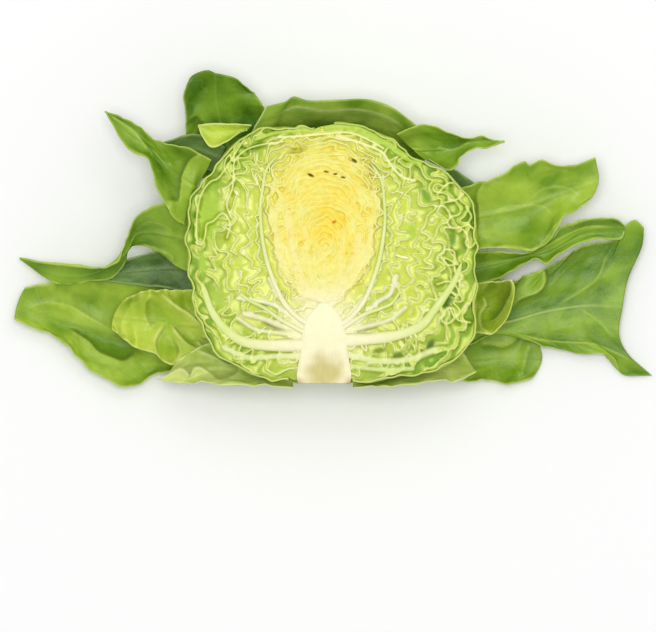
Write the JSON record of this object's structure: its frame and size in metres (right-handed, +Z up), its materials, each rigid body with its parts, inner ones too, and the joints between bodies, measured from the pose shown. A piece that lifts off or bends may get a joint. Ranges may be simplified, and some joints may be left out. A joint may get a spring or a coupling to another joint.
{
  "type": "halved butterhead lettuce",
  "caption": "Half of a butterhead lettuce, cut lengthwise and lying on its rounded back, with a leafy cut face and spread outer leaves.",
  "frame": {"origin": "middle of the small flat spot on the rounded back that the half rests on, on the surface that it lies on", "axes": "+Z up, out of the cut face; +Y along the head from the stem towards its top; +X to the right seen from above"},
  "size_m": [0.2886, 0.143, 0.0586],
  "materials": {
    "stem_flesh": "moist cut stem, cream with an olive pith",
    "heart_leaf": "moist cut leaf edges, yellow",
    "inner_leaf": "moist cut leaf edges, pale yellow-green",
    "lime_leaf": "soft leaf, bright yellow-green",
    "pale_leaf": "soft leaf, pale green to cream",
    "green_leaf": "soft satin leaf, mid green",
    "deep_leaf": "soft satin leaf, deeper green",
    "grey_leaf": "soft leaf, grey-green and shaded"
  },
  "bodies": {
    "root": {"stem": "stem_flesh", "heart": "heart_leaf", "head": "inner_leaf", "leaf_wrap_left": "lime_leaf", "leaf_wrap_right": "lime_leaf", "leaf_top_left": "deep_leaf", "leaf_low_left": "green_leaf", "leaf_low_right": "green_leaf", "leaf_big_right": "green_leaf", "leaf_top": "green_leaf", "leaf_behind_right": "grey_leaf", "leaf_behind_left": "grey_leaf", "leaf_under_left": "grey_leaf", "leaf_folded_right": "deep_leaf", "leaf_right": "deep_leaf", "leaf_loop_right": "lime_leaf", "leaf_crumpled_left": "lime_leaf", "leaf_foot_left": "pale_leaf", "leaf_foot_right": "pale_leaf", "leaf_mid_left": "deep_leaf", "leaf_upper_left": "deep_leaf", "leaf_flap": "lime_leaf", "leaf_upper_right": "deep_leaf"}
  },
  "joints": []
}
